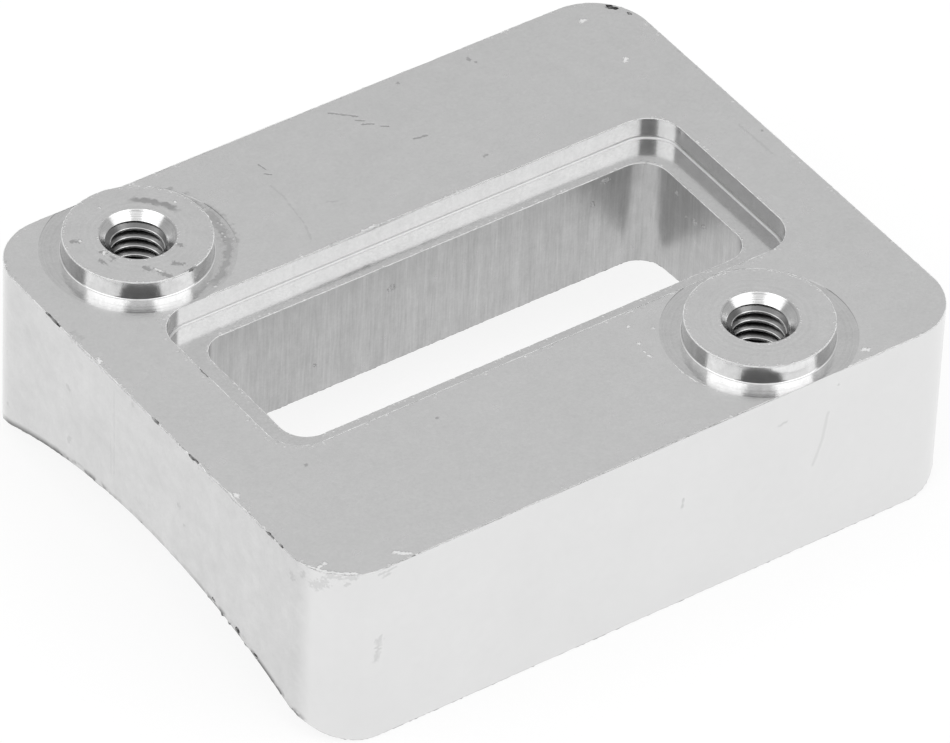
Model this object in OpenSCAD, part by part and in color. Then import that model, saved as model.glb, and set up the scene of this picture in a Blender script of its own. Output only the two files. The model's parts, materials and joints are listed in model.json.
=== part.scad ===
// Sensor mount plate for an engine's air intake tube, milled from one aluminium block.
// X runs along the tube, Y across it and Z up. The two long lower edges lie at Z = 0.
// The origin lies midway between them, under the middle of the plate.

/* [Plate] */
// Length of the plate, along the tube
plate_l = 47.2; // [42:0.1:90]
// Width of the plate, across the tube
plate_w = 37.75; // [37.3:0.05:60]
// Height of the flat top above the two long lower edges
plate_h = 13.25; // [9:0.25:30]
// Radius of the four upright corners
corner_r = 4; // [1:0.1:6]

/* [Saddle] */
// Outside diameter of the tube that the hollow underside sits on
tube_d = 88.9; // [60:0.1:160]

/* [Sensor opening] */
// Place of the opening's centre along the plate
opening_x = 0.2; // [-1:0.1:1]
// Place of the opening's centre across the plate
opening_y = -0.1; // [-0.2:0.05:0.2]
// Length of the slot that the sensor's probe passes through
slot_l = 33.7; // [20:0.1:38]
// Width of that slot
slot_w = 10.8; // [6:0.1:12.8]
// Radius of the slot's corners
slot_r = 1.8; // [0.5:0.1:2.9]
// Width of the ledge round the slot, which the sensor's collar seats on
ledge_w = 2; // [0.5:0.1:3.2]
// Depth of the ledge below the flat top
ledge_depth = 1.5; // [0.5:0.1:4]
// Radius of the corners of the recess above the ledge
recess_r = 2.4; // [0.5:0.1:4]

/* [Screw bosses] */
// Diameter of the raised round seats
boss_d = 9.3; // [7:0.1:10.4]
// Height of the seats above the flat top
boss_h = 1.25; // [0.5:0.05:5]
// Distance between the two holes, across the plate
hole_spread = 26.7; // [25:0.1:27.8]
// Place of the rear hole along the plate, from the opening's centre
rear_hole_x = -15.9; // [-18:0.1:-6]
// Place of the front hole along the plate, from the opening's centre
front_hole_x = 11.3; // [4:0.1:17]

/* [Tapped holes] */
// Diameter of the hole that the screw's thread is cut in
tap_hole_d = 3.3; // [2.5:0.05:4.2]
// Diameter of the countersink where it meets the seat
sink_d = 4.8; // [4.3:0.1:6.5]
// Angle between the countersink's sides
sink_angle = 90; // [60:1:120]

/* [Hidden] */

// How far a cut runs past the face that it opens
past = 1;
// The tube's axis lies below the plate, so that its surface meets the long lower edges
tube_r = tube_d / 2;
tube_axis_z = -sqrt(pow(tube_r, 2) - pow(plate_w / 2, 2));
recess_l = slot_l + 2 * ledge_w;
recess_w = slot_w + 2 * ledge_w;
seat_z = plate_h + boss_h;
// The countersink's own cone, which narrows to the tapped hole
sink_depth = (sink_d - tap_hole_d) / 2 / tan(sink_angle / 2);
hole_places = [
    [rear_hole_x, hole_spread / 2],
    [front_hole_x, -hole_spread / 2]
];
metal = [0.80, 0.81, 0.82];

// Upright block with four round corners, its base at Z = 0
module rounded_block(l, w, h, r) {
    linear_extrude(h) {
        square([l - 2 * r, w], center = true);
        square([l, w - 2 * r], center = true);
        for (side = [-1, 1], end = [-1, 1])
            translate([end * (l / 2 - r), side * (w / 2 - r)])
                circle(r, $fn = 96);
    }
}

// Places its children at both holes
module at_holes() {
    translate([opening_x, opening_y, 0])
        for (place = hole_places)
            translate([place[0], place[1], 0])
                children();
}

// Hollow underside, a length of the tube's own surface
module saddle_cut() {
    translate([-plate_l / 2 - past, 0, tube_axis_z])
        rotate([0, 90, 0])
            cylinder(h = plate_l + 2 * past, r = tube_r, $fn = 360);
}

// Slot right through, with the shallow recess round its upper end
module opening_cut() {
    translate([opening_x, opening_y, 0]) {
        translate([0, 0, -2 * past])
            rounded_block(slot_l, slot_w, plate_h + 3 * past, slot_r);
        translate([0, 0, plate_h - ledge_depth])
            rounded_block(recess_l, recess_w, ledge_depth + past, recess_r);
    }
}

// Hole for the thread, right through to the saddle, with its countersink on the seat
module tapped_hole_cut() {
    translate([0, 0, -2 * past])
        cylinder(h = seat_z + 3 * past, d = tap_hole_d, $fn = 96);
    translate([0, 0, seat_z - sink_depth])
        cylinder(h = sink_depth, d1 = tap_hole_d, d2 = sink_d, $fn = 96);
}

// The block starts below Z = 0, and the saddle trims it back to the tube's surface
module mount_plate() {
    color(metal)
        difference() {
            union() {
                translate([0, 0, -past])
                    rounded_block(plate_l, plate_w, plate_h + past, corner_r);
                at_holes() cylinder(h = seat_z, d = boss_d, $fn = 128);
            }
            saddle_cut();
            opening_cut();
            at_holes() tapped_hole_cut();
        }
}

mount_plate();
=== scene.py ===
import functools
import json
import math

import bmesh
import bpy
from mathutils import Matrix, Vector

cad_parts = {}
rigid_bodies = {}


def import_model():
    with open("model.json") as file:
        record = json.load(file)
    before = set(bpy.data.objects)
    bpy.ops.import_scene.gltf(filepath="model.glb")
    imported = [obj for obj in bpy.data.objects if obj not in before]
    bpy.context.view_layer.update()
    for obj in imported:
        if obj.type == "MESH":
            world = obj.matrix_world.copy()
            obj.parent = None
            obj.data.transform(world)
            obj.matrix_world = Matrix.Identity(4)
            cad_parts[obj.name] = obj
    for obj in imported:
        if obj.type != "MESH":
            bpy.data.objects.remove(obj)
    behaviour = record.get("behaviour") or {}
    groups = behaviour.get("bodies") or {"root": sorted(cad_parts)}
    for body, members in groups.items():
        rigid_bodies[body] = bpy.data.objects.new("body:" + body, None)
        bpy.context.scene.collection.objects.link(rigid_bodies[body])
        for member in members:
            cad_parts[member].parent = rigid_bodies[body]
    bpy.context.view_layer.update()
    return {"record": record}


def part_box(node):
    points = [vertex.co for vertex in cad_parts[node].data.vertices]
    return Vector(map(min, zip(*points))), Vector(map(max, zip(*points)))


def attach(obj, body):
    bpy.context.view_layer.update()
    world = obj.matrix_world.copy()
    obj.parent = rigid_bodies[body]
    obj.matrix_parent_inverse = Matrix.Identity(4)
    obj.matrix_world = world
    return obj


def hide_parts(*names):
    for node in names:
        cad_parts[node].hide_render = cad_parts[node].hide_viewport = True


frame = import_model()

mm = 0.001
plateLow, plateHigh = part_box("mount_plate")
mounts = {mount["name"]: mount for mount in frame["record"]["mounts"]}
print("frame loaded")


# what the parts of the plate share

plate = {
    "cornerRadius": 4 * mm,
    "cornerSegments": 30,
    "tubeRadius": 44.45 * mm,
    "tubeSides": 720,
    "past": 1 * mm,           # how far a cutter runs past the face that it opens
    "edgeBreak": 0.07 * mm,   # width of the broken edge
    "edgeRagged": 0.035 * mm,
    "edgeStep": 0.16 * mm,    # length of the pieces that a broken edge is divided into
    "leastGap": 0.05 * mm,
    "fillet": 0.16 * mm,      # the cutter's corner radius, left where a wall meets a floor
    "sharpAngle": 30,         # least angle in degrees of an edge that is broken
    "smoothAngle": 36,        # and greatest of one that is shaded smooth
}
opening = {
    "centre": (0.2 * mm, -0.1 * mm),
    "slotLength": 33.7 * mm,
    "slotWidth": 10.8 * mm,
    "slotRadius": 1.8 * mm,
    "ledgeWidth": 2 * mm,
    "recessRadius": 2.4 * mm,
    "cornerSegments": 20,
}
seat = {
    "radius": 4.65 * mm,
    "height": 1.25 * mm,
    "sides": 160,
    "foot": 0.12 * mm,         # fillet at its foot
    "rimBreak": 0.06 * mm,
    "ringRadius": 6.05 * mm,   # shallow ring that the cutter left round each seat
    "ringDepth": 0.04 * mm,
    "ringSlip": (0.05 * mm, 0.03 * mm),
}
hole = {
    "tapRadius": 1.65 * mm,
    "threadRadius": 2.0 * mm,
    "pitch": 0.7 * mm,
    "crest": 0.2,              # flat of the crest, as a share of the pitch
    "root": 0.13,
    "steps": 64,
    "sinkRadius": 2.4 * mm,
    "sinkSides": 96,
}

tubeAxisZ = -math.sqrt(plate["tubeRadius"] ** 2 - plateHigh[1] ** 2)
seatTop = plateHigh[2]
plateTop = seatTop - seat["height"]
ledgeZ = mounts["collar_ledge"]["pos_m"][2]
holePlaces = [Vector(mounts[name]["pos_m"][:2]) for name in ("rear_screw_hole", "front_screw_hole")]
plateSize = (plateHigh[0] - plateLow[0], plateHigh[1] - plateLow[1])
slotSize = (opening["slotLength"], opening["slotWidth"])
recessSize = tuple(side + 2 * opening["ledgeWidth"] for side in slotSize)


# shader tools

def addNode(tree, kind, inputs=None, **settings):
    node = tree.nodes.new("ShaderNode" + kind)
    for name, value in settings.items():
        setattr(node, name, value)
    feed(tree, node, inputs or {})
    return node


def feed(tree, node, inputs):
    # a socket is linked and a plain value is typed in
    for name, value in inputs.items():
        if isinstance(value, bpy.types.NodeSocket):
            tree.links.new(value, node.inputs[name])
        else:
            node.inputs[name].default_value = value


def reckon(tree, operation, first, second=0.0):
    return addNode(tree, "Math", {0: first, 1: second}, operation=operation).outputs[0]


def plus(tree, first, second):
    return reckon(tree, "ADD", first, second)


def minus(tree, first, second):
    return reckon(tree, "SUBTRACT", first, second)


def times(tree, first, second):
    return reckon(tree, "MULTIPLY", first, second)


def larger(tree, first, second=0.0):
    return reckon(tree, "MAXIMUM", first, second)


def reckonVector(tree, operation, first, second=(0, 0, 0)):
    node = addNode(tree, "VectorMath", {0: first, 1: second}, operation=operation)
    return node.outputs["Value" if operation in ("LENGTH", "DOT_PRODUCT") else "Vector"]


def fade(tree, value, low, high, lowResult, highResult):
    node = addNode(tree, "MapRange", {
        "Value": value, "From Min": low, "From Max": high, "To Min": lowResult, "To Max": highResult,
    }, interpolation_type="SMOOTHSTEP")
    return node.outputs[0]


def blend(tree, mask, first, second):
    return addNode(tree, "Mix", {0: mask, 2: first, 3: second}).outputs[0]


def newGroup(name, inputs, outputs):
    # a triple is a vector socket and a number is a value socket
    tree = bpy.data.node_groups.new(name, "ShaderNodeTree")
    for label, value in inputs.items():
        kind = "NodeSocketVector" if isinstance(value, tuple) else "NodeSocketFloat"
        tree.interface.new_socket(name=label, in_out="INPUT", socket_type=kind).default_value = value
    for label in outputs:
        tree.interface.new_socket(name=label, in_out="OUTPUT", socket_type="NodeSocketFloat")
    return tree, tree.nodes.new("NodeGroupInput").outputs, tree.nodes.new("NodeGroupOutput").inputs


def placeGroup(tree, group, inputs):
    node = tree.nodes.new("ShaderNodeGroup")
    node.node_tree = group
    feed(tree, node, inputs)
    return node.outputs


# node groups, with every length in millimetres

def swing(tree, value, contrast):
    # turns a noise about 0.5 into a factor about 1
    return plus(tree, times(tree, minus(tree, value, 0.5), contrast), 1.0)


def makePatches():
    # soft cloudy patches, or fine grain at a small size
    tree, given, result = newGroup("metalPatches", {
        "Place": (0, 0, 0), "Size": 1.0, "Contrast": 0.1}, ["Shade", "Height"])
    noise = addNode(tree, "TexNoise", {
        "Vector": given["Place"], "Scale": reckon(tree, "DIVIDE", 1.0, given["Size"]),
        "Detail": 3.0, "Roughness": 0.6}).outputs[0]
    tree.links.new(swing(tree, noise, given["Contrast"]), result["Shade"])
    tree.links.new(noise, result["Height"])
    return tree


def makeCutterLines():
    # long parallel streaks, close together where there are many lines to a millimetre
    tree, given, result = newGroup("cutterLines", {
        "Place": (0, 0, 0), "Lines": (4, 4, 0.1), "Contrast": 0.1}, ["Shade", "Height"])
    noise = addNode(tree, "TexNoise", {
        "Vector": reckonVector(tree, "MULTIPLY", given["Place"], given["Lines"]),
        "Scale": 1.0, "Detail": 2.5, "Roughness": 0.65}).outputs[0]
    tree.links.new(swing(tree, noise, given["Contrast"]), result["Shade"])
    tree.links.new(noise, result["Height"])
    return tree


def levelOffset(tree, given):
    offset = reckonVector(tree, "SUBTRACT", given["Place"], given["Centre"])
    return reckonVector(tree, "MULTIPLY", offset, (1, 1, 0))


def makeTurnedRings():
    # fine rings about an upright axis
    tree, given, result = newGroup("turnedRings", {
        "Place": (0, 0, 0), "Centre": (0, 0, 0), "Spacing": 0.1, "Wander": 0.05, "Contrast": 0.1,
    }, ["Shade", "Height", "Distance"])
    flat = levelOffset(tree, given)
    drift = addNode(tree, "TexNoise", {"Vector": given["Place"], "Scale": 0.6, "Detail": 1.0}).outputs[0]
    away = plus(
        tree, reckonVector(tree, "LENGTH", flat), times(tree, drift, given["Wander"]))
    rings = addNode(tree, "TexNoise", {
        "W": reckon(tree, "DIVIDE", away, given["Spacing"]), "Scale": 1.0, "Detail": 2.0, "Roughness": 0.6,
    }, noise_dimensions="1D").outputs[0]
    tree.links.new(swing(tree, rings, given["Contrast"]), result["Shade"])
    tree.links.new(rings, result["Height"])
    tree.links.new(reckonVector(tree, "LENGTH", flat), result["Distance"])
    return tree


def makeScratch():
    # one ragged scratch between two points, or a spot where both are the same
    tree, given, result = newGroup("handlingScratch", {
        "Place": (0, 0, 0), "Start": (0, 0, 0), "End": (1, 0, 0), "Width": 0.1, "Ragged": 0.5}, ["Mask"])
    reach = reckonVector(tree, "SUBTRACT", given["End"], given["Start"])
    offset = reckonVector(tree, "SUBTRACT", given["Place"], given["Start"])
    share = reckon(
        tree, "DIVIDE", reckonVector(tree, "DOT_PRODUCT", offset, reach),
        reckonVector(tree, "DOT_PRODUCT", reach, reach))
    share = addNode(tree, "Clamp", {"Value": share}).outputs[0]
    nearest = addNode(tree, "VectorMath", {0: reach, "Scale": share}, operation="SCALE").outputs[0]
    away = reckonVector(tree, "LENGTH", reckonVector(tree, "SUBTRACT", offset, nearest))
    away = plus(tree, away, times(
        tree, minus(tree, given["Ragged"], 0.5), given["Width"]))
    tree.links.new(
        fade(tree, away, times(tree, given["Width"], 0.25),
             times(tree, given["Width"], 0.75), 1.0, 0.0),
        result["Mask"])
    return tree


def makeSpecks():
    # scattered round grains, of which only a share of the places has one
    tree, given, result = newGroup("burrSpecks", {
        "Place": (0, 0, 0), "Spacing": 0.4, "Size": 0.1, "Share": 0.5}, ["Mask"])
    cells = addNode(tree, "TexVoronoi", {
        "Vector": given["Place"], "Scale": reckon(tree, "DIVIDE", 1.0, given["Spacing"])})
    size = reckon(tree, "DIVIDE", given["Size"], given["Spacing"])
    grain = fade(tree, cells.outputs["Distance"], 0.0, size, 1.0, 0.0)
    pick = reckonVector(tree, "DOT_PRODUCT", cells.outputs["Color"], (1, 0, 0))
    tree.links.new(
        times(tree, grain, reckon(tree, "LESS_THAN", pick, given["Share"])), result["Mask"])
    return tree


def makeOutline():
    # distance from an upright rounded outline, below zero inside it
    tree, given, result = newGroup("outlineDistance", {
        "Place": (0, 0, 0), "Centre": (0, 0, 0), "Half size": (1, 1, 0), "Radius": 0.5}, ["Distance"])
    offset = reckonVector(tree, "ABSOLUTE", reckonVector(tree, "SUBTRACT", given["Place"], given["Centre"]))
    past = addNode(tree, "SeparateXYZ", {
        0: reckonVector(tree, "SUBTRACT", offset, given["Half size"])}).outputs
    sideways, lengthways = (plus(tree, past[axis], given["Radius"]) for axis in (0, 1))
    outside = reckonVector(tree, "LENGTH", addNode(tree, "CombineXYZ", {
        0: larger(tree, sideways), 1: larger(tree, lengthways)}).outputs[0])
    inside = reckon(tree, "MINIMUM", larger(tree, sideways, lengthways))
    tree.links.new(
        minus(tree, plus(tree, outside, inside), given["Radius"]),
        result["Distance"])
    return tree


def makeArcSmear():
    # a smear along part of a circle, on the side that Toward points to
    tree, given, result = newGroup("arcSmear", {
        "Place": (0, 0, 0), "Centre": (0, 0, 0), "Radius": 1.0, "Width": 0.2,
        "Toward": (1, 0, 0), "Least cosine": 0.7}, ["Mask"])
    flat = levelOffset(tree, given)
    ragged = addNode(tree, "TexNoise", {"Vector": given["Place"], "Scale": 2.2, "Detail": 4.0}).outputs[0]
    away = reckon(tree, "ABSOLUTE", minus(
        tree, reckonVector(tree, "LENGTH", flat), given["Radius"]))
    away = plus(tree, away, times(
        tree, minus(tree, ragged, 0.45), times(tree, given["Width"], 2.5)))
    band = fade(tree, away, times(tree, given["Width"], 0.35), given["Width"], 1.0, 0.0)
    turn = reckonVector(tree, "DOT_PRODUCT", reckonVector(tree, "NORMALIZE", flat), given["Toward"])
    end = fade(tree, turn, given["Least cosine"], plus(tree, given["Least cosine"], 0.1), 0.0, 1.0)
    tree.links.new(times(tree, band, end), result["Mask"])
    return tree


patches = makePatches()
cutterLines = makeCutterLines()
turnedRings = makeTurnedRings()
handlingScratch = makeScratch()
burrSpecks = makeSpecks()
outlineDistance = makeOutline()
arcSmear = makeArcSmear()
print("node groups made")


# finishes of the one milled piece, each left by the tool that cut that face; painted shadow, shade and
# glints are laid over some of them

finishes = {}
# torn metal at burrs and broken edges, drawn near white and not metallic: partly the real rough burr,
# partly a painted glint that stays bright under any light
tornMetalAndGlint = {"tone": 0.92, "roughness": 0.6}
topHeight = plateTop / mm
seatHeight = seatTop / mm


def startFinish(name):
    # gives a node tree with the place on the piece in millimetres
    material = bpy.data.materials.new(name)
    material.use_nodes = True
    finishes[name] = material
    tree = material.node_tree
    inMetres = addNode(tree, "TexCoord").outputs["Object"]
    addNode(tree, "VectorMath", {0: inMetres, "Scale": 1 / mm}, operation="SCALE", name="place")
    return tree


def placeIn(tree):
    return tree.nodes["place"].outputs[0]


def laid(tree, group, **inputs):
    # a group laid over the piece, its inputs named in camelCase
    names = {"halfSize": "Half size", "leastCosine": "Least cosine"}
    return placeGroup(tree, group, {"Place": placeIn(tree), **{
        names.get(name, name.capitalize()): value for name, value in inputs.items()}})


def cloud(tree, size):
    return laid(tree, patches, size=size)["Height"]


def grained(tree, size, depth):
    return times(tree, cloud(tree, size), depth)


def mottled(tree, tone, *layers):
    for size, contrast in layers:
        tone = times(tree, laid(tree, patches, size=size, contrast=contrast)["Shade"], tone)
    return tone


def lined(tree, lines, contrast):
    node = laid(tree, cutterLines, lines=lines, contrast=contrast)
    return node["Shade"], node["Height"]


def toned(tree, look, shade=None, **masks):
    # the tone with its patches, and then with a stain where each mask says
    tone = look["tone"] if shade is None else times(tree, shade, look["tone"])
    tone = mottled(tree, tone, *look["patches"])
    return stained(tree, look, tone, **masks)


def stained(tree, look, tone, **masks):
    for name, mask in masks.items():
        strength, stainTone = look["stains"][name]
        tone = blend(tree, times(tree, mask, strength), tone, stainTone)
    return tone


def endFinish(tree, look, tone, relief=None, burrs=None, torn=None, roughness=None):
    heights = []
    if relief is not None:
        heights.append(times(tree, relief, look["depth"]))
    if "grain" in look:
        heights.append(grained(tree, *look["grain"]))
    if burrs is not None:
        heights.append(times(tree, burrs, look["burrHeight"]))
        torn = times(tree, burrs, look["tornGlintShare"])
    bump = addNode(tree, "Bump", {"Height": joined(tree, plus, heights), "Distance": mm})
    metallic = 1.0
    if roughness is None:
        roughness = mottled(tree, *look["roughness"])
    # where burrs and torn edges are, the tone turns near white: partly rough torn metal, partly painted
    # glint
    if torn is not None:
        metallic = minus(tree, 1.0, torn)
        tone = blend(tree, torn, tone, tornMetalAndGlint["tone"])
        roughness = blend(tree, torn, roughness, tornMetalAndGlint["roughness"])
    feed(tree, tree.nodes["Principled BSDF"], {
        "Base Color": tone, "Roughness": roughness, "Metallic": metallic, "Normal": bump.outputs[0]})


def joined(tree, operation, values):
    return functools.reduce(lambda first, second: operation(tree, first, second), values)


def marked(tree, marks, height=None, ragged=1.0):
    # scratches, and spots where a mark has only one point; with a height, they lie on that level
    ragged = minus(tree, swing(tree, cloud(tree, 0.2), ragged), 0.5)
    masks = []
    for *ends, width in marks:
        if height is not None:
            ends = [(*end, height) for end in ends]
        masks.append(laid(
            tree, handlingScratch, start=ends[0], end=ends[-1], width=width, ragged=ragged)["Mask"])
    return joined(tree, larger, masks)


def flatPlace(place):
    return (place[0] / mm, place[1] / mm, 0)


def smeared(tree, smears):
    # smears round the rear seat
    masks = []
    for radius, width, side, leastCosine in smears:
        toward = (math.cos(math.radians(side)), math.sin(math.radians(side)), 0)
        masks.append(laid(
            tree, arcSmear, centre=flatPlace(holePlaces[0]), radius=radius, width=width,
            toward=toward, leastCosine=leastCosine)["Mask"])
    return joined(tree, larger, masks)


def outline(tree, centre, size, radius):
    return laid(
        tree, outlineDistance, centre=flatPlace(centre), halfSize=flatPlace((size[0] / 2, size[1] / 2)),
        radius=radius / mm)["Distance"]


def nearEdge(tree, distance, reach):
    return fade(tree, reckon(tree, "ABSOLUTE", distance), 0.0, reach, 1.0, 0.0)


def specks(tree, spacing, size, share):
    return laid(tree, burrSpecks, spacing=spacing, size=size, share=share)["Mask"]


def ringsRound(tree, spacing, wander, contrast):
    # rings about whichever hole is nearer, because the two lie on the two sides of the plate
    side = addNode(tree, "SeparateXYZ", {0: placeIn(tree)}).outputs[1]
    isRear = reckon(tree, "GREATER_THAN", side, 0.0)
    rear, front = (laid(
        tree, turnedRings, centre=flatPlace(centre), spacing=spacing, wander=wander,
        contrast=contrast) for centre in holePlaces)
    return [blend(tree, isRear, front[label], rear[label]) for label in ("Shade", "Height", "Distance")]


# in each look below, lengths are in millimetres
# patches: size and contrast, after the value that they vary; grain: size and depth
# lines: how many to a millimetre along x, y and z, and contrast; rings: spacing, wander and contrast
# specks: spacing, size and share; smears: radius, width, side in degrees and least cosine
# stains: strength and tone; fades: lowest and highest value, and what they give there

flatTop = {
    "tone": 0.705,
    "patches": [(5.0, 0.05), (0.9, 0.07), (0.3, 0.08), (0.12, 0.14)],
    "roughness": (0.25, (1.6, 0.5)),
    "grain": (0.2, 0.003),
    "wornReach": 0.45,      # how far the handling shows beside an edge
    "wornPatches": 1.6,
    "wornFade": (0.5, 0.6, 0.0, 1.0),
    "brightSpecks": (0.24, 0.13, 0.35),
    "dullSpecks": (0.3, 0.16, 0.4),
    "smears": [(5.9, 0.5, 8, 0.76), (5.7, 0.4, -40, 0.84)],
    "stains": {
        "dull": (0.55, 0.35), "faint": (0.14, 0.3), "spots": (0.4, 0.2),
        "scratches": (0.36, 0.15), "smears": (0.35, 0.22)},
    "burrHeight": 0.025,
    "depth": -0.015,        # of the scratches
    "tornGlintShare": 0.8,
    "scratches": [   # start, end and width on the flat top, in millimetres
        ((1.58, 17.99), (2.87, 16.79), 0.15),
        ((2.55, 16.54), (2.98, 16.19), 0.12),
        ((2.68, 15.97), (3.33, 15.61), 0.12),
        ((3.52, 15.23), (3.93, 14.95), 0.11),
        ((4.58, 13.07), (5.45, 12.93), 0.15),
        ((-4.90, 16.13), (-4.81, 15.46), 0.11),
        ((-5.07, 15.18), (-4.81, 14.90), 0.12),
    ],
    "faint": [
        ((-5.44, 13.97), (-5.36, 12.78), 0.12),
        ((-5.36, 12.78), (-5.49, 11.83), 0.16),
        ((-5.49, 11.83), (-5.79, 9.75), 0.1),
        ((-5.79, 9.75), (-6.24, 8.44), 0.14),
        ((22.33, 3.39), (22.39, -0.21), 0.16),
        ((-3.42, 10.89), (-2.90, 10.56), 0.16),
        ((-23.23, 8.90), (-23.10, 8.10), 0.3),
    ],
    "crumbs": [
        ((5.24, -8.72), 0.15),
        ((4.84, -10.31), 0.16),
        ((4.70, -11.11), 0.15),
        ((4.72, -11.56), (4.74, -11.7), 0.15),
        ((6.45, -9.57), 0.15),
        ((5.56, -13.0), (5.53, -14.0), 0.13),
        ((5.6, -14.3), (5.81, -15.04), 0.2),
        ((5.95, -15.5), (6.3, -16.1), 0.14),
        ((-23.36, -16.1), (-23.0, -16.75), 0.12),
        ((-23.0, -16.75), (-22.6, -17.33), 0.16),
        ((-22.6, -17.33), (-22.05, -17.84), 0.17),
        ((-22.05, -17.84), (-21.2, -18.38), 0.14),
        ((20.14, 17.12), (20.3, 17.0), 0.3),
        ((20.21, 12.47), (20.1, 12.3), 0.26),
        ((-22.74, -16.70), (-22.27, -16.61), 0.2),
        ((-18.32, -17.99), (-17.64, -18.60), 0.24),
        ((15.95, -18.05), (16.2, -18.2), 0.26),
        ((-23.3, 5.95), (-23.4, 5.75), 0.3),
        ((-23.3, -8.75), (-23.35, -8.9), 0.3),
        ((-3.1, 7.3), (-2.3, 7.32), 0.34),
        ((-5.7, 7.28), (-4.8, 7.28), 0.22),
        ((2.7, 7.28), (3.8, 7.25), 0.22),
    ],
    "spots": [
        ((6.86, 18.12), 0.22),
        ((11.96, 17.83), (11.90, 17.63), 0.22),
        ((12.15, 17.23), 0.2),
        ((7.35, 9.40), 0.3),
        ((-18.29, -8.76), 0.24),
        ((-9.33, -9.40), 0.22),
        ((-10.02, 13.12), (-10.13, 12.17), 0.2),
        ((23.19, 2.18), 0.2),
    ],
}


def makeFlatTop():
    look = flatTop
    tree = startFinish("flatTop")
    toSide = outline(tree, (0, 0), plateSize, plate["cornerRadius"])
    toRecess = outline(tree, opening["centre"], recessSize, opening["recessRadius"])
    toEdge = reckon(
        tree, "MINIMUM", reckon(tree, "ABSOLUTE", toSide), reckon(tree, "ABSOLUTE", toRecess))
    handled = fade(tree, cloud(tree, look["wornPatches"]), *look["wornFade"])
    worn = times(tree, nearEdge(tree, toEdge, look["wornReach"]), handled)
    scratches = marked(tree, look["scratches"], topHeight, 2.0)
    tone = toned(
        tree, look,
        dull=times(tree, specks(tree, *look["dullSpecks"]), worn),
        faint=marked(tree, look["faint"], topHeight, 3.0),
        spots=marked(tree, look["spots"], topHeight, 2.0),
        scratches=scratches,
        smears=smeared(tree, look["smears"]))
    bright = times(tree, specks(tree, *look["brightSpecks"]), worn)
    bright = larger(tree, bright, marked(tree, look["crumbs"], topHeight, 2.5))
    endFinish(tree, look, tone, relief=scratches, burrs=bright)


outerWall = {
    "tone": 0.77,
    "patches": [(6.0, 0.06), (0.5, 0.04)],
    "endTone": 0.66,        # the sawn end faces carry more cloud than the milled long sides
    "endPatches": [(4.0, 0.2), (0.9, 0.17), (0.2, 0.13)],
    "endFade": 0.5,
    "roughness": (0.2, (1.8, 0.4)),
    "grain": (0.3, 0.002),
    "archShadeReach": 0.55,     # how far the painted shadow reaches up from the arch
    "archShadePatches": 0.8,
    "archShadeFade": (0.42, 0.56, 0.1, 1.0),
    "rearFade": (7.0, 11.0, 0.0, 0.9),      # the painted shadow is solid toward the rear
    "middleFade": (3.0, 8.0, 0.25, 1.0),    # and thin in the middle of the arch
    "archMiddle": -1.0,
    "paintedShadeTone": 0.1,
    "wornHeight": 0.8,
    "dullSpecks": (0.3, 0.13, 0.4),
    "stains": {"dull": (0.5, 0.4), "lines": (0.12, 0.3), "marks": (0.22, 0.3)},
    "marks": [      # start, end and width on the upright walls, in millimetres
        ((-19.83, -18.88, 7.62), (-19.94, -18.88, 6.16), 0.34),
        ((-19.8, -18.88, 7.8), (-19.83, -18.88, 7.3), 0.4),
        ((-23.59, -15.12, 11.95), (-23.59, -15.2, 11.7), 0.42),
        ((-23.43, -16.04, 12.52), (-23.43, -16.04, 12.4), 0.36),
        ((-23.1, -16.81, 12.05), (-22.84, -17.23, 12.4), 0.6),
        ((-22.84, -17.23, 12.55), (-22.84, -17.23, 12.4), 0.5),
        ((-22.62, -17.5, 13.05), (-21.42, -18.44, 13.05), 0.3),
        ((-21.81, -18.21, 12.55), (-21.81, -18.21, 12.5), 0.3),
        ((-19.6, -18.88, 12.58), (-19.2, -18.88, 12.66), 0.2),
        ((-20.0, -18.88, 12.9), (-18.8, -18.88, 12.98), 0.16),
        ((-22.07, -18.88, 8.19), 0.3),
        ((-21.26, -18.88, 5.0), (-21.26, -18.88, 4.9), 0.2),
        ((13.47, -18.88, 12.11), 0.26),
        ((9.7, -18.88, 10.95), (9.2, -18.88, 10.85), 0.2),
        ((2.25, -18.88, 8.27), (2.2, -18.88, 7.7), 0.18),
        ((-23.6, 8.88, 9.19), (-23.6, 8.6, 8.98), 0.26),
        ((-23.6, 1.78, 12.84), (-23.6, 1.74, 12.7), 0.26),
        ((-23.6, 15.71, 7.02), (-23.6, 15.65, 6.9), 0.22),
        ((-23.6, -3.29, 8.61), (-23.6, -3.25, 8.5), 0.3),
        ((-23.6, -3.88, 7.41), 0.22),
        ((-23.6, 8.7, 4.95), (-23.6, 8.5, 5.3), 0.3),
        ((-23.6, 15.49, 2.94), 0.3),
        ((-22.9, -16.7, 6.0), (-22.9, -16.7, 5.9), 0.24),
    ],
    "lines": [
        ((-23.6, 3.80, 12.3), (-23.6, 3.68, 5.9), 0.1),
        ((-23.6, 4.10, 8.33), (-23.6, 4.0, 5.7), 0.1),
        ((12.9, -18.88, 10.2), (12.6, -18.88, 8.2), 0.24),
        ((12.6, -18.88, 8.2), (12.03, -18.88, 6.5), 0.24),
    ],
}


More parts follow.
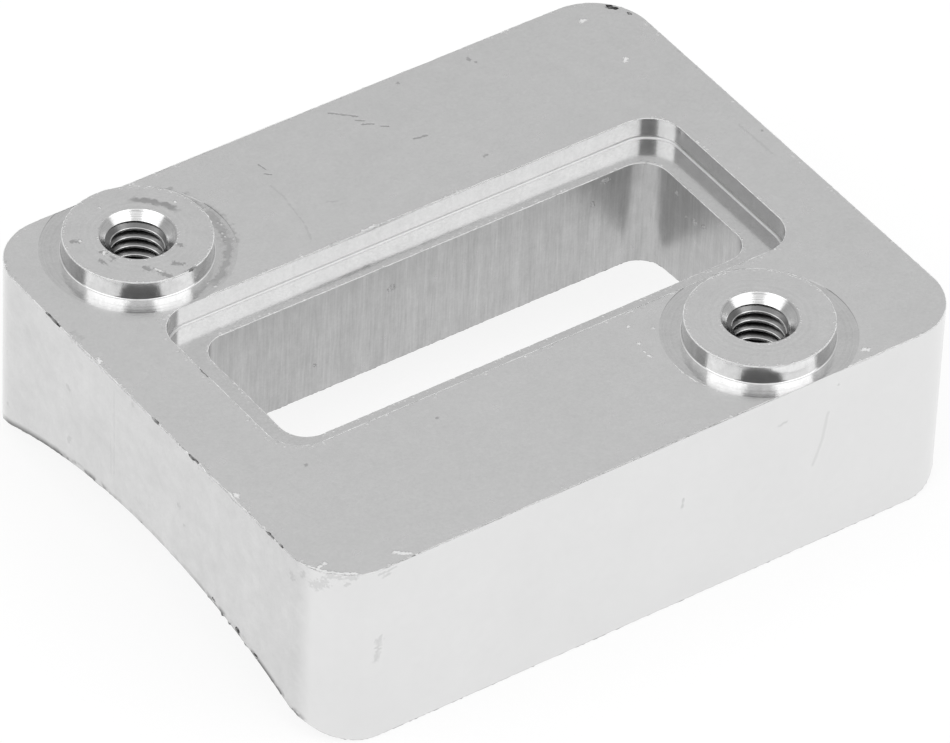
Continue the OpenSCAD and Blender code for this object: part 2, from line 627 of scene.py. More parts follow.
def makeOuterWall():
    look = outerWall
    tree = startFinish("outerWall")
    along, across, heightUp = addNode(tree, "SeparateXYZ", {0: placeIn(tree)}).outputs
    endX = plateHigh[0] / mm
    isEnd = fade(tree, reckon(tree, "ABSOLUTE", along), endX - look["endFade"], endX, 0.0, 1.0)
    tone = blend(
        tree, isEnd, toned(tree, look), mottled(tree, look["endTone"], *look["endPatches"]))
    fromAxis = reckonVector(tree, "LENGTH", reckonVector(
        tree, "MULTIPLY", reckonVector(tree, "SUBTRACT", placeIn(tree), (0, 0, tubeAxisZ / mm)),
        (0, 1, 1)))
    # painted shadow beside the arch, where the end faces meet the hollow underside
    archShade = nearEdge(tree, minus(tree, fromAxis, plate["tubeRadius"] / mm), look["archShadeReach"])
    torn = fade(tree, cloud(tree, look["archShadePatches"]), *look["archShadeFade"])
    torn = larger(tree, torn, fade(tree, across, *look["rearFade"]))
    toMiddle = reckon(tree, "ABSOLUTE", minus(tree, across, look["archMiddle"]))
    archShade = times(tree, times(tree, archShade, torn), fade(tree, toMiddle, *look["middleFade"]))
    worn = times(tree, isEnd, fade(tree, heightUp, topHeight - look["wornHeight"], topHeight, 0.0, 1.0))
    tone = stained(tree, look, tone, dull=times(tree, specks(tree, *look["dullSpecks"]), worn))
    # the end faces darken along the arch: painted shadow, darkest toward the rear corner
    tone = blend(tree, times(tree, archShade, isEnd), tone, look["paintedShadeTone"])
    tone = stained(
        tree, look, tone, lines=marked(tree, look["lines"]),
        marks=marked(tree, look["marks"], ragged=2.5))
    endFinish(tree, look, tone)


# faces that look the same all over
plainFaces = {
    "recessWall": {
        "lines": ((2.2, 2.2, 0.2), 0.12), "depth": 0.004, "tone": 0.74,
        "patches": [(0.18, 0.2)], "roughness": (0.2, (1.0, 0.4))},
    "fillet": {
        "grain": (0.15, 0.006), "tone": 0.72, "patches": [(0.3, 0.2)], "roughness": (0.42,)},
    "saddle": {      # bored along the tube's axis
        "lines": ((0.08, 3.0, 3.0), 0.4), "depth": 0.012, "tone": 0.72,
        "patches": [(4.0, 0.25), (0.2, 0.2)], "roughness": (0.26, (2.0, 0.4))},
    "seatWall": {
        "lines": ((3.0, 3.0, 0.5), 0.22), "depth": 0.004, "tone": 0.82,
        "patches": [(0.5, 0.3)], "roughness": (0.15, (0.8, 0.6))},
    "countersink": {
        "rings": (0.07, 0.1, 0.3), "depth": 0.006, "tone": 0.8,
        "patches": [(0.4, 0.25)], "roughness": (0.2, (0.5, 0.5))},
    "gouge": {       # torn inside of a nick, darker than the faces round it
        "grain": (0.1, 0.03), "tone": 0.32, "patches": [(0.3, 1.6)], "roughness": (0.34,)},
}


def makePlainFace(name):
    look = plainFaces[name]
    tree = startFinish(name)
    shade = relief = None
    if "lines" in look:
        shade, relief = lined(tree, *look["lines"])
    if "rings" in look:
        shade, relief, _ = ringsRound(tree, *look["rings"])
    endFinish(tree, look, toned(tree, look, shade), relief=relief)


ledge = {
    "tone": 0.7,
    "patches": [(1.5, 0.15), (0.15, 0.25)],
    "roughness": (0.15, (1.2, 0.5)),
    "grain": (0.35, 0.003),
    "mouthReach": 0.35,     # how far the burrs lie from the slot
    "brightSpecks": (0.2, 0.09, 0.5),
    "burrHeight": 0.03,
    "tornGlintShare": 0.8,
}


def makeLedge():
    look = ledge
    tree = startFinish("ledge")
    toSlot = outline(tree, opening["centre"], slotSize, opening["slotRadius"])
    burrs = times(tree, specks(tree, *look["brightSpecks"]), nearEdge(tree, toSlot, look["mouthReach"]))
    endFinish(tree, look, toned(tree, look), burrs=burrs)


slotWall = {
    # darker than the other walls: partly a duller finish, partly painted shade of the dark floor under the
    # plate that these walls reflect
    "tone": 0.5,
    "coarseLines": ((1.3, 1.3, 0.08), 0.3),
    "fineLines": ((7.0, 7.0, 0.4), 0.4),
    "depth": 0.006,
    "patches": [(1.0, 0.2), (0.15, 0.2)],
    "roughness": (0.3, (0.8, 0.4)),
    "burrHeight": 0.05,
    "tornGlintShare": 0.5,
    "chips": [    # bright flecks that stand on the walls, burrs partly drawn as painted glints, in millimetres
        ((-2.45, 5.3, 9.77), (-2.3, 5.3, 9.8), 0.3),
        ((13.86, 5.3, 11.23), (13.5, 5.3, 11.3), 0.28),
        ((12.8, 5.3, 9.84), (12.8, 5.3, 9.7), 0.2),
        ((-7.88, 5.3, 6.2), 0.2),
        ((17.05, 1.41, 9.61), 0.24),
        ((17.05, 0.59, 9.73), (17.05, 0.4, 9.8), 0.24),
        ((17.05, -0.34, 10.01), (17.05, -0.5, 10.0), 0.22),
        ((17.05, 2.47, 10.78), (17.05, 2.47, 10.7), 0.22),
    ],
}


def makeSlotWall():
    look = slotWall
    tree = startFinish("slotWall")
    coarse, _ = lined(tree, *look["coarseLines"])
    fine, relief = lined(tree, *look["fineLines"])
    tone = toned(tree, look, times(tree, coarse, fine))
    endFinish(tree, look, tone, relief=relief, burrs=marked(tree, look["chips"], ragged=3.0))


ringFloor = {
    "rings": (0.16, 0.1, 0.12),
    "depth": 0.002,
    "tone": 0.68,
    "patches": [(1.2, 0.2), (0.15, 0.2)],
    "roughness": (0.13, (1.0, 0.4)),
    "grain": (0.4, 0.004),
    "smears": [(5.5, 0.6, 6, 0.78), (5.5, 0.4, -40, 0.82)],
    "smearRoughness": 0.4,
    "stains": {"smears": (0.4, 0.2)},
    "chips": (0.35, 0.16, 0.4),
    "burrHeight": 0.05,
    "tornGlintShare": 0.7,
}


def makeRingFloor():
    look = ringFloor
    tree = startFinish("ringFloor")
    shade, rings, _ = ringsRound(tree, *look["rings"])
    smears = smeared(tree, look["smears"])
    roughness = blend(tree, smears, mottled(tree, *look["roughness"]), look["smearRoughness"])
    endFinish(
        tree, look, toned(tree, look, shade, smears=smears), relief=rings,
        burrs=times(tree, specks(tree, *look["chips"]), smears), roughness=roughness)


seatFace = {
    "rings": (0.22, 0.3, 0.08),
    "depth": 0.002,
    "tone": 0.7,
    "patches": [(1.5, 0.14), (0.14, 0.2)],
    "roughness": (0.24, (1.0, 0.4)),
    "grain": (0.2, 0.003),
    "crescent": [(3.25, 0.38, 38, 0.84)],
    "stains": {"dark": (0.45, 0.15), "crescent": (0.5, 0.15)},
    "rimReach": 0.3,
    "mouthReach": 0.22,
    "tornSpecks": (0.16, 0.09, 0.5),
    "burrHeight": 0.04,
    "tornGlintShare": 0.8,
    "dark": [      # start, end and width on the seat tops, in millimetres
        ((-19.50, 14.77), (-19.2, 14.66), 0.3),
        ((-18.50, 12.93), (-18.29, 12.72), 0.26),
        ((-18.98, 12.41), (-18.91, 12.00), 0.26),
        ((-18.40, 11.97), (-18.2, 12.15), 0.3),
        ((-17.06, 10.29), (-16.9, 10.1), 0.4),
        ((-16.62, 9.64), (-16.32, 8.92), 0.3),
        ((-15.29, 9.75), (-15.05, 9.38), 0.34),
        ((-14.17, 11.07), (-14.1, 11.0), 0.36),
        ((-15.17, 8.62), (-14.31, 8.72), 0.24),
    ],
    "bright": [
        ((-18.99, 14.59), 0.2),
        ((-18.45, 12.8), (-18.3, 12.9), 0.2),
        ((-16.30, 16.65), 0.16),
        ((-16.6, 9.9), (-16.4, 9.5), 0.14),
        ((-12.1, 14.6), 0.16),
    ],
}


def makeSeatFace():
    look = seatFace
    tree = startFinish("seatFace")
    shade, rings, away = ringsRound(tree, *look["rings"])
    tone = toned(
        tree, look, shade, dark=marked(tree, look["dark"], seatHeight, 3.0),
        crescent=smeared(tree, look["crescent"]))
    rims = larger(
        tree,
        nearEdge(tree, minus(tree, away, seat["radius"] / mm), look["rimReach"]),
        nearEdge(tree, minus(tree, away, hole["sinkRadius"] / mm), look["mouthReach"]))
    bright = larger(
        tree, marked(tree, look["bright"], seatHeight, 2.0),
        times(tree, specks(tree, *look["tornSpecks"]), rims))
    endFinish(tree, look, tone, relief=rings, burrs=bright)


thread = {
    "rings": (0.3, 0.1, 0.3),
    "crestHighlightTone": 0.85,      # painted highlight on the crests that the tap left
    "crestWidth": 0.06,
    "rootShadeTone": 0.22,       # painted shade in the roots between them
    "patches": [(0.3, 0.4)],
    "roughness": (0.22, (0.4, 0.4)),
    "grain": (0.15, 0.006),
}


def makeThread():
    look = thread
    tree = startFinish("thread")
    shade, _, away = ringsRound(tree, *look["rings"])
    crestX = hole["tapRadius"] / mm
    # painted highlight on the thread's crests and painted shade in its roots, by the distance from the axis
    tone = fade(tree, away, crestX, crestX + look["crestWidth"], look["crestHighlightTone"], look["rootShadeTone"])
    endFinish(tree, look, mottled(tree, times(tree, shade, tone), *look["patches"]))


# bare metal that the file and the handling left, bright in one place and dull in the next; some of the
# bright places are painted glint, and the edges low down are painted darker as shade
brokenEdge = {
    "tone": 0.74,
    "patches": [(0.9, 0.7), (0.16, 1.0)],
    "roughness": (0.4, (0.3, 0.8)),
    "grain": (0.12, 0.02),
    "dullSpecks": (0.28, 0.18, 0.4),
    "stains": {"dull": (0.6, 0.25)},
    "tornPatches": 0.5,
    "tornGlintShare": (0.55, 0.95),
    "shadeHeight": (5.0, 6.0),     # painted shade darkens the edges low down, round the hollow underside
    "paintedShadeTone": 0.25,
}


def makeBrokenEdge():
    look = brokenEdge
    tree = startFinish("brokenEdge")
    tone = toned(tree, look, dull=specks(tree, *look["dullSpecks"]))
    torn = fade(tree, cloud(tree, look["tornPatches"]), 0.42, 0.58, *look["tornGlintShare"])
    heightUp = addNode(tree, "SeparateXYZ", {0: placeIn(tree)}).outputs[2]
    # painted shade: the broken edges grow darker toward the floor
    low = fade(tree, heightUp, *look["shadeHeight"], look["paintedShadeTone"], 1.0)
    endFinish(tree, look, times(tree, tone, low), torn=times(tree, torn, low))


# the order is that of the plate's material slots
makeOuterWall()
makeFlatTop()
makePlainFace("recessWall")
makePlainFace("fillet")
makeLedge()
makeSlotWall()
makePlainFace("saddle")
makePlainFace("seatWall")
makeSeatFace()
makeRingFloor()
makePlainFace("countersink")
makeThread()
makePlainFace("gouge")
makeBrokenEdge()
print("finishes made:", ", ".join(finishes))


# the way this script works on a piece

def clearSelection():
    if bpy.context.mode != "OBJECT":
        bpy.ops.object.mode_set(mode="OBJECT")
    bpy.ops.object.select_all(action="DESELECT")


def takeUp(piece):
    clearSelection()
    piece.select_set(True)
    bpy.context.view_layer.objects.active = piece


def newPiece(name):
    # names the primitive just added and puts its place into its mesh
    piece = bpy.context.view_layer.objects.active
    piece.name = name
    takeUp(piece)
    bpy.ops.object.transform_apply(location=True, rotation=True, scale=True)
    return piece


def newMetal(name, finish):
    # a piece of the plate, or a cutter that leaves its finish on what it cuts
    piece = newPiece(name)
    for material in finishes.values():
        piece.data.materials.append(material)
    giveFinish(piece, finish)
    return piece


def slotOf(finish):
    return list(finishes).index(finish)


def giveFinish(piece, finish, test=lambda face: True):
    for face in piece.data.polygons:
        if test(face):
            face.material_index = slotOf(finish)


def openMesh(piece, kind, isWanted=None):
    # opens the piece in edit mode with the wanted verts, edges or faces selected, or else with all
    takeUp(piece)
    bpy.context.tool_settings.mesh_select_mode = [kind == name for name in ("verts", "edges", "faces")]
    bpy.ops.object.mode_set(mode="EDIT")
    bpy.ops.mesh.select_all(action="DESELECT" if isWanted else "SELECT")
    cage = bmesh.from_edit_mesh(piece.data)
    if isWanted:
        for part in [part for part in getattr(cage, kind) if isWanted(part)]:
            part.select_set(True)
        bmesh.update_edit_mesh(piece.data)
    return cage


def closeMesh():
    bpy.ops.object.mode_set(mode="OBJECT")


def combine(piece, tool, operation="DIFFERENCE"):
    takeUp(piece)
    step = piece.modifiers.new("combine", "BOOLEAN")
    step.operation = operation
    step.solver = "EXACT"
    step.object = tool
    bpy.ops.object.modifier_apply(modifier=step.name)
    bpy.data.objects.remove(tool)


def roundedBlock(name, finish, centre, size, lowZ, highZ, radius, segments):
    clearSelection()
    bpy.ops.mesh.primitive_plane_add(size=1, location=(centre[0], centre[1], lowZ))
    bpy.ops.transform.resize(value=(size[0], size[1], 1))
    piece = newMetal(name, finish)
    openMesh(piece, "verts")
    bpy.ops.mesh.bevel(offset=radius, segments=segments, profile=0.5, affect="VERTICES")
    bpy.ops.mesh.extrude_region_move(TRANSFORM_OT_translate={"value": (0, 0, highZ - lowZ)})
    bpy.ops.mesh.select_all(action="SELECT")
    bpy.ops.mesh.normals_make_consistent(inside=False)
    closeMesh()
    giveFinish(piece, finish)
    return piece


# plate

def cutSaddle(piece):
    clearSelection()
    bpy.ops.mesh.primitive_cylinder_add(
        vertices=plate["tubeSides"],
        radius=plate["tubeRadius"],
        depth=plateSize[0] + 4 * plate["past"],
        location=(0, 0, tubeAxisZ),
        rotation=(0, math.pi / 2, 0),
    )
    combine(piece, newMetal("tube", "saddle"))


def cutOpening(piece):
    above = plateTop + plate["past"]
    combine(piece, roundedBlock(
        "slotCutter", "slotWall", opening["centre"], slotSize, -2 * plate["past"], above,
        opening["slotRadius"], opening["cornerSegments"]))
    recessCutter = roundedBlock(
        "recessCutter", "recessWall", opening["centre"], recessSize, ledgeZ, above + plate["past"],
        opening["recessRadius"], opening["cornerSegments"])
    giveFinish(recessCutter, "ledge", lambda face: face.normal.z < -0.9)
    combine(piece, recessCutter)


def isSharp(edge):
    return len(edge.link_faces) == 2 and edge.calc_face_angle(0) > math.radians(plate["sharpAngle"])


def bevelPicked(width, segments, finish):
    bpy.ops.mesh.bevel(
        offset=width, segments=segments, profile=0.5, affect="EDGES", clamp_overlap=True,
        material=slotOf(finish))
    closeMesh()


def breakEdges(piece):
    # points that lie too close together would hold the bevels back
    openMesh(piece, "verts")
    bpy.ops.mesh.remove_doubles(threshold=plate["leastGap"])
    # a clean fillet first where the recess meets its ledge, then every outward edge
    openMesh(piece, "edges", lambda edge: isSharp(edge) and edge.calc_face_angle_signed(0) < 0)
    bevelPicked(plate["fillet"], 4, "fillet")
    openMesh(piece, "edges", lambda edge: isSharp(edge) and edge.calc_face_angle_signed(0) > 0)
    bevelPicked(plate["edgeBreak"], 2, "brokenEdge")


def splitFaces(piece):
    # cuts the faces of many sides into triangles: wide ones, so that each keeps clear of its holes,
    # and long strips, so that they follow every point of a ragged edge
    fineSlots = [slotOf(finish) for finish in ("saddle", "thread", "countersink")]
    openMesh(piece, "faces", lambda face: len(face.verts) > 4 and face.material_index not in fineSlots)
    bpy.ops.mesh.quads_convert_to_tris(quad_method="BEAUTY", ngon_method="BEAUTY")
    # where two strips meet, three points in line can leave a flat triangle that joins nothing
    openMesh(piece, "faces", lambda face: all(len(edge.link_faces) != 2 for edge in face.edges))
    bpy.ops.mesh.delete(type="ONLY_FACE")
    bpy.ops.mesh.select_all(action="SELECT")
    bpy.ops.mesh.delete_loose()
    closeMesh()


def divideEdges(piece):
    # gives the long stretches of the broken edges enough points to be made ragged
    edgeSlot = slotOf("brokenEdge")

    def cutsIn(edge):
        onEdge = any(face.material_index == edgeSlot for face in edge.link_faces)
        return round(edge.calc_length() / plate["edgeStep"]) - 1 if onEdge else 0

    takeUp(piece)
    cage = bmesh.new()
    cage.from_mesh(piece.data)
    counts = sorted({cutsIn(edge) for edge in cage.edges} - {-1, 0}, reverse=True)
    cage.free()
    for cuts in counts:
        openMesh(piece, "edges", lambda edge: cutsIn(edge) == cuts)
        bpy.ops.mesh.subdivide(number_cuts=cuts)
        closeMesh()


def roughenEdges(piece):
    # pushes about the middle row of every broken edge, and furthest where burrs stand
    edgeSlot = slotOf("brokenEdge")
    cage = openMesh(piece, "verts")
    middles = [
        vert for vert in cage.verts
        if all(face.material_index == edgeSlot for face in vert.link_faces)]
    places = [vert.co.copy() for vert in middles]

    def pick(isWanted):
        bpy.ops.mesh.select_all(action="DESELECT")
        for vert, place in zip(middles, places):
            vert.select_set(isWanted(place))
        bmesh.update_edit_mesh(piece.data)

    def push(isWanted, amount, alongNormal, seed):
        pick(isWanted)
        bpy.ops.transform.vertex_random(offset=amount, uniform=0, normal=alongNormal, seed=seed)

    push(lambda place: True, plate["edgeRagged"], 0, 4)
    for number, (low, high, depth) in enumerate(wear["chipped"]):
        pick(lambda place: all(low[axis] < place[axis] / mm < high[axis] for axis in range(3)))
        bpy.ops.mesh.select_random(ratio=wear["spared"], seed=number, action="DESELECT")
        bpy.ops.transform.shrink_fatten(value=-depth * mm)
    for number, (centre, reach, height) in enumerate(wear["burrs"]):
        burrPlace = Vector(centre) * mm
        push(lambda place: (place - burrPlace).length < reach * mm, height * mm, 1, number)
    closeMesh()
    print("points moved on the broken edges:", len(middles))


def addDisc(name, finish, place, radius, lowZ, highZ, sides):
    clearSelection()
    bpy.ops.mesh.primitive_cylinder_add(
        vertices=sides,
        radius=radius,
        depth=highZ - lowZ,
        location=(place[0], place[1], (lowZ + highZ) / 2),
    )
    return newMetal(name, finish)


def cutRings(piece):
    for place in holePlaces:
        ringPlace = place + Vector(seat["ringSlip"])
        combine(piece, addDisc(
            "ringCutter", "ringFloor", ringPlace, seat["ringRadius"],
            plateTop - seat["ringDepth"], seatTop, seat["sides"]))


def makeSeat(place):
    # a low round stub, drawn in over a hollow fillet and then raised to its height
    floorZ = plateTop - seat["ringDepth"]
    lowZ = plateTop - 2 * seat["height"]
    stub = addDisc(
        "seatStub", "seatWall", place, seat["radius"] + seat["foot"], lowZ, floorZ, seat["sides"])
    openMesh(stub, "faces", lambda face: face.normal.z > 0.9)
    footSteps = 4
    for step in range(footSteps):
        turn, nextTurn = (math.radians(90) * share / footSteps for share in (step, step + 1))
        bpy.ops.mesh.inset(
            thickness=seat["foot"] * (math.sin(nextTurn) - math.sin(turn)),
            depth=seat["foot"] * (math.cos(turn) - math.cos(nextTurn)))
    bpy.ops.mesh.extrude_region_move(
        TRANSFORM_OT_translate={"value": (0, 0, seatTop - floorZ - seat["foot"])})
    closeMesh()
    giveFinish(stub, "seatWall")
    giveFinish(stub, "seatFace", lambda face: face.center.z > seatTop - 0.01 * mm)
    openMesh(stub, "edges", lambda edge: min(vert.co.z for vert in edge.verts) > seatTop - 0.01 * mm)
    bevelPicked(seat["rimBreak"], 2, "brokenEdge")
    return stub


def threadedRod(place):
    # a screw of the thread's own shape, closed at both ends
    turns = int((seatTop + 4 * plate["past"]) / hole["pitch"]) + 3
    lowZ = -2 * plate["past"]
    clearSelection()
    bpy.ops.mesh.primitive_plane_add(
        size=hole["pitch"],
        location=(hole["tapRadius"] + hole["pitch"] / 2, 0, lowZ + hole["pitch"] / 2),
        rotation=(math.pi / 2, 0, 0),
    )
    rod = newMetal("threadedRod", "thread")
    innerX = hole["tapRadius"]
    openMesh(rod, "verts", lambda vert: vert.co.x > innerX + 0.1 * hole["pitch"])
    bpy.ops.mesh.delete(type="VERT")
    bpy.ops.mesh.select_all(action="SELECT")
    bpy.ops.mesh.subdivide(number_cuts=4)
    heights = (
        0, hole["crest"] / 2, 0.5 - hole["root"] / 2, 0.5 + hole["root"] / 2, 1 - hole["crest"] / 2, 1)
    cage = bmesh.from_edit_mesh(rod.data)
    for vert, share in zip(sorted(cage.verts, key=lambda v: v.co.z), heights):
        vert.co.z = lowZ + share * hole["pitch"]
        vert.co.x = hole["threadRadius"] if abs(share - 0.5) < 0.2 else innerX
    bmesh.update_edit_mesh(rod.data)
    closeMesh()
    turn = rod.modifiers.new("turn", "SCREW")
    turn.axis = "Z"
    turn.steps = hole["steps"]
    turn.render_steps = hole["steps"]
    turn.screw_offset = hole["pitch"]
    turn.iterations = turns
    turn.use_merge_vertices = True
    turn.merge_threshold = 1e-6
    bpy.ops.object.modifier_apply(modifier=turn.name)
    openMesh(rod, "verts")
    bpy.ops.mesh.remove_doubles(threshold=1e-6)
    for height, upward in ((lowZ + 1.5 * hole["pitch"], -1), (seatTop + plate["past"], 1)):
        bpy.ops.mesh.select_all(action="SELECT")
        bpy.ops.mesh.bisect(
            plane_co=(0, 0, height), plane_no=(0, 0, upward), clear_outer=True, use_fill=True,
            threshold=1e-7)
    bpy.ops.mesh.select_all(action="SELECT")
    bpy.ops.mesh.normals_make_consistent(inside=False)
    closeMesh()
    giveFinish(rod, "thread")
    rod.location = (place[0], place[1], 0)
    takeUp(rod)
    bpy.ops.object.transform_apply(location=True)
    return rod


def cutHoles(piece):
    for place in holePlaces:
        above = plate["past"] / 2
        depth = hole["sinkRadius"] - 0.8 * hole["tapRadius"] + above
        clearSelection()
        bpy.ops.mesh.primitive_cone_add(
            vertices=hole["sinkSides"],
            radius1=hole["sinkRadius"] + above - depth,
            radius2=hole["sinkRadius"] + above,
            depth=depth,
            location=(place[0], place[1], seatTop + above - depth / 2),
        )
        combine(piece, newMetal("sinkCutter", "countersink"))
        combine(piece, threadedRod(place))


wear = {
    "nicks": [      # start, end and radius of each dent in an edge, in millimetres
        ((-23.62, 11.15, 13.3), (-23.58, 9.85, 13.3), 0.2),
        ((-23.62, -0.3, 13.28), (-23.62, -0.9, 13.28), 0.16),
        ((-23.62, -4.2, 13.28), (-23.62, -5.1, 13.28), 0.15),
        ((-23.62, -12.5, 13.28), (-23.62, -13.1, 13.28), 0.17),
        ((-23.62, -13.8, 13.28), (-23.62, -14.1, 13.28), 0.15),
        ((22.35, 17.4, 13.3), (22.62, 17.0, 13.3), 0.22),
        ((23.05, 16.2, 13.3), (23.1, 16.0, 13.3), 0.14),
        ((-23.65, -9.64, 3.5), (-23.65, -9.75, 3.45), 0.2),
        ((-23.65, -11.5, 2.95), (-23.65, -11.9, 2.8), 0.14),
        ((-23.65, -7.1, 3.97), (-23.65, -7.2, 3.95), 0.14),
        ((-23.65, 0.5, 4.24), (-23.65, 0.7, 4.24), 0.12),
        ((-14.95, 8.66, 14.55), (-14.45, 8.78, 14.55), 0.16),
        ((8.4, 18.9, 13.3), (10.7, 18.9, 13.3), 0.1),
        ((-17.9, -18.9, 13.27), (-17.3, -18.9, 13.27), 0.08),
        ((-18.7, 1.9, 13.27), (-18.7, 1.0, 13.27), 0.09),
    ],
    "chipped": [    # lowest and highest corner of each chipped stretch of edge, and the chips' depth
        ((-24, -18, 13), (-23, 13, 14), 0.05),
        ((-24, -20, 13), (-17, -15, 14), 0.05),
        ((-24, 4, -1), (-23, 20, 5), 0.09),
        ((-24, -20, -1), (-23, 4, 5), 0.07),
    ],
    "burrs": [      # where a broken edge stands up in burrs: place, reach and height, in millimetres
        ((-23.2, -17.2, 13.25), 0.7, 0.07),
        ((-22.5, -18.0, 13.25), 0.7, 0.07),
        ((-21.4, -18.5, 13.25), 0.6, 0.05),
        ((-17.4, -18.8, 13.25), 0.5, 0.06),
        ((13.5, -18.8, 13.25), 0.6, 0.06),
        ((14.9, -18.8, 13.25), 0.5, 0.05),
        ((16.2, -18.8, 13.25), 0.5, 0.07),
        ((-23.6, 5.9, 13.25), 0.6, 0.08),
        ((-23.6, 7.2, 13.25), 0.4, 0.08),
        ((-23.6, -6.1, 13.25), 0.4, 0.06),
        ((-23.6, -8.8, 13.25), 0.4, 0.09),
        ((-23.6, -12.3, 13.25), 0.4, 0.06),
        ((-23.6, -5.7, 4.1), 0.6, 0.08),
        ((-23.6, -8.5, 3.75), 0.9, 0.08),
        ((-23.6, -10.6, 3.3), 0.7, 0.06),
        ((-9.2, 7.25, 13.25), 0.4, 0.05),
        ((-5.2, 7.25, 13.25), 0.7, 0.06),
        ((-2.6, 7.25, 13.25), 0.5, 0.12),
        ((1.8, 7.25, 13.25), 0.4, 0.06),
        ((3.3, 7.25, 13.25), 0.6, 0.06),
        ((13.6, 5.3, 11.75), 0.8, 0.06),
        ((9.8, 5.3, 11.75), 0.4, 0.05),
        ((17.05, 2.4, 11.75), 0.9, 0.06),
        ((17.05, 0.2, 11.75), 0.9, 0.06),
        ((-11.2, 11.9, 14.5), 0.9, 0.06),
        ((14.6, -16.8, 14.5), 1.4, 0.07),
        ((9.6, -17.6, 14.5), 0.8, 0.06),
        ((10.9, -8.9, 14.5), 0.6, 0.05),
    ],
    "spared": 0.6,          # share of a chipped stretch that stays whole
    "lumpiness": 0.45,      # of a nick, as a share of its radius
}


def addLump(name, start, end, radius, seed):
    start, end = Vector(start) * mm, Vector(end) * mm
    radius = radius * mm
    clearSelection()
    bpy.ops.mesh.primitive_ico_sphere_add(subdivisions=2, radius=radius, location=(start + end) / 2)
    lump = bpy.context.view_layer.objects.active
    lump.scale = ((end - start).length / 2 / radius + 1, 1, 1)
    lump.rotation_euler = (end - start).to_track_quat("X", "Z").to_euler()
    openMesh(newPiece(name), "verts")
    bpy.ops.transform.vertex_random(offset=wear["lumpiness"] * radius, uniform=0, normal=1, seed=seed)
    closeMesh()
    return newMetal(name, "gouge")


def cutNicks(piece):
    lumps = [addLump("nick", *mark, seed) for seed, mark in enumerate(wear["nicks"])]
    clearSelection()
    for lump in lumps:
        lump.select_set(True)
    bpy.context.view_layer.objects.active = lumps[0]
    bpy.ops.object.join()
    combine(piece, lumps[0])
    print("nicks cut:", len(lumps))


def finishSurface(piece):
    takeUp(piece)
    bpy.ops.object.shade_smooth_by_angle(angle=math.radians(plate["smoothAngle"]))
    # a face keeps its own flatness up to where another finish begins
    openMesh(piece, "edges", lambda edge: len({face.material_index for face in edge.link_faces}) > 1)
    bpy.ops.mesh.mark_sharp()
    closeMesh()
    weigh = piece.modifiers.new("weigh", "WEIGHTED_NORMAL")
    weigh.mode = "FACE_AREA"
    weigh.weight = 50
    weigh.keep_sharp = True
    bpy.ops.object.modifier_apply(modifier=weigh.name)


def makePlate():
    piece = roundedBlock(
        "plateBody", "outerWall", (0, 0), plateSize, -plate["past"], plateTop,
        plate["cornerRadius"], plate["cornerSegments"])
    giveFinish(piece, "flatTop", lambda face: face.normal.z > 0.9)
    cutSaddle(piece)
    cutOpening(piece)
    breakEdges(piece)
    cutRings(piece)
    for place in holePlaces:
        combine(piece, makeSeat(place), "UNION")
    cutHoles(piece)
    cutNicks(piece)
    splitFaces(piece)
    divideEdges(piece)
    splitFaces(piece)
    roughenEdges(piece)
    finishSurface(piece)
    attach(piece, "root")
    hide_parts("mount_plate")
    print("plate made:", len(piece.data.polygons), "faces")
    return piece


plateBody = makePlate()


# camera, as the photograph was taken

view = {
    "lens": 363.1,
    "sensor": 36,
    "target": (-4.97 * mm, -7.15 * mm, plateTop),
    "distance": 573.6 * mm,
    "azimuth": 36.654,      # degrees, from behind the viewer round to -Y
    "elevation": 40.251,
    "roll": 2.623,
}


def setCamera():
    azimuth, elevation, roll = (math.radians(view[k]) for k in ("azimuth", "elevation", "roll"))
    side = Vector((math.cos(azimuth), -math.sin(azimuth), 0))
    back = Vector((
        -math.sin(azimuth) * math.cos(elevation),
        -math.cos(azimuth) * math.cos(elevation),
        math.sin(elevation)))
    up = back.cross(side)
    right = side * math.cos(roll) + up * math.sin(roll)
    top = up * math.cos(roll) - side * math.sin(roll)
    place = Vector(view["target"]) + back * view["distance"]
    data = bpy.data.cameras.new("camera")
    data.lens = view["lens"]
    data.sensor_width = view["sensor"]
    data.sensor_fit = "HORIZONTAL"
    data.clip_start = 0.01
    camera = bpy.data.objects.new("camera", data)
    bpy.context.collection.objects.link(camera)
    camera.matrix_world = Matrix((
        (right.x, top.x, back.x, place.x),
        (right.y, top.y, back.y, place.y),
        (right.z, top.z, back.z, place.z),
        (0, 0, 0, 1)))
    bpy.context.scene.camera = camera


# studio

studio = {
    "floorTone": 0.22,      # matt part of the floor, which takes the shadow
    "floorGlow": 0.81,      # the rest of its white, as the camera, metal and glass see it
    "farTone": 0.64,        # backdrop beyond the plate
    "nearTone": 0.13,       # dark room behind the camera
    "aboveTone": 0.95,
    "horizonTone": 0.7,    # how much of its tone the room keeps down at the horizon
    "lampTurns": (-50, 64),      # degrees from the camera, to the left and to the right
    "lampRise": 32,
    "lampSize": (0.86, 1.15),
    "lampDistance": 1.0,
    "lampPower": 3.15,
}


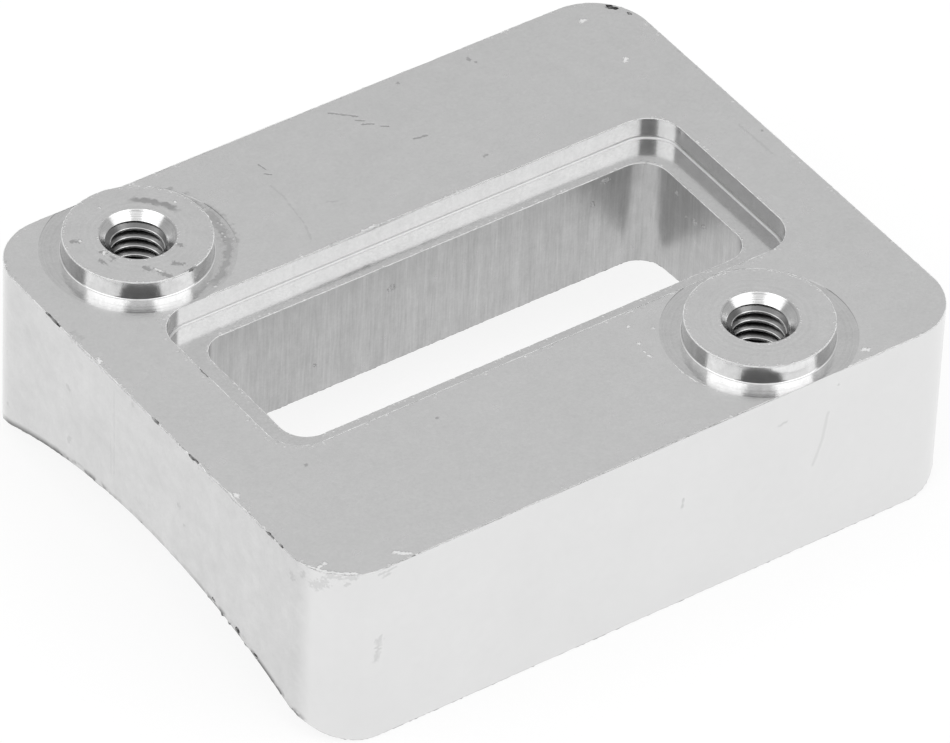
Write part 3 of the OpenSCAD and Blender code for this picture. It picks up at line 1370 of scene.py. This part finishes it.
def setFloor():
    clearSelection()
    bpy.ops.mesh.primitive_plane_add(size=4, location=(0, 0, -0.01 * mm))
    floor = newPiece("floor")
    material = bpy.data.materials.new("paleFloor")
    material.use_nodes = True
    tree = material.node_tree
    tree.nodes.clear()
    rays = addNode(tree, "LightPath").outputs
    seen = larger(tree, rays["Is Camera Ray"], rays["Is Glossy Ray"])
    seen = larger(tree, seen, rays["Is Transmission Ray"])
    glow = addNode(tree, "Emission", {"Strength": times(tree, seen, studio["floorGlow"])})
    matt = addNode(tree, "BsdfDiffuse", {"Color": (*[studio["floorTone"]] * 3, 1)})
    both = addNode(tree, "AddShader", {0: matt.outputs[0], 1: glow.outputs[0]})
    addNode(tree, "OutputMaterial", {"Surface": both.outputs[0]})
    floor.data.materials.append(material)


def setWorld():
    # a grey room, lighter beyond the plate and above it than behind the camera
    world = bpy.data.worlds.new("studio")
    bpy.context.scene.world = world
    world.use_nodes = True
    tree = world.node_tree
    direction = addNode(tree, "TexCoord").outputs["Generated"]
    azimuth = math.radians(view["azimuth"])
    level = math.cos(math.radians(view["elevation"]))
    lean = reckonVector(tree, "DOT_PRODUCT", direction, (-math.sin(azimuth), -math.cos(azimuth), 0))
    tone = addNode(tree, "MapRange", {
        "Value": lean, "From Min": -level, "From Max": level,
        "To Min": studio["farTone"], "To Max": studio["nearTone"]}).outputs[0]
    rise = addNode(tree, "SeparateXYZ", {0: direction}).outputs[2]
    tone = times(tree, tone, fade(tree, rise, 0.0, 0.5, studio["horizonTone"], 1.0))
    tone = blend(tree, fade(tree, rise, 0.63, 0.75, 0.0, 1.0), tone, studio["aboveTone"])
    tree.links.new(tone, tree.nodes["Background"].inputs["Color"])


def setLamps():
    rise = math.radians(studio["lampRise"])
    for turn in studio["lampTurns"]:
        around = math.radians(view["azimuth"] - turn)
        back = Vector((
            -math.sin(around) * math.cos(rise), -math.cos(around) * math.cos(rise), math.sin(rise)))
        lamp = bpy.data.lights.new("softbox", "AREA")
        lamp.shape = "RECTANGLE"
        lamp.size, lamp.size_y = studio["lampSize"]
        lamp.energy = studio["lampPower"]
        box = bpy.data.objects.new("softbox", lamp)
        bpy.context.collection.objects.link(box)
        box.location = back * studio["lampDistance"]
        box.rotation_euler = back.to_track_quat("Z", "Y").to_euler()


setCamera()
setFloor()
setWorld()
setLamps()
scene = bpy.context.scene
scene.view_settings.view_transform = "Standard"
print("camera and studio set")
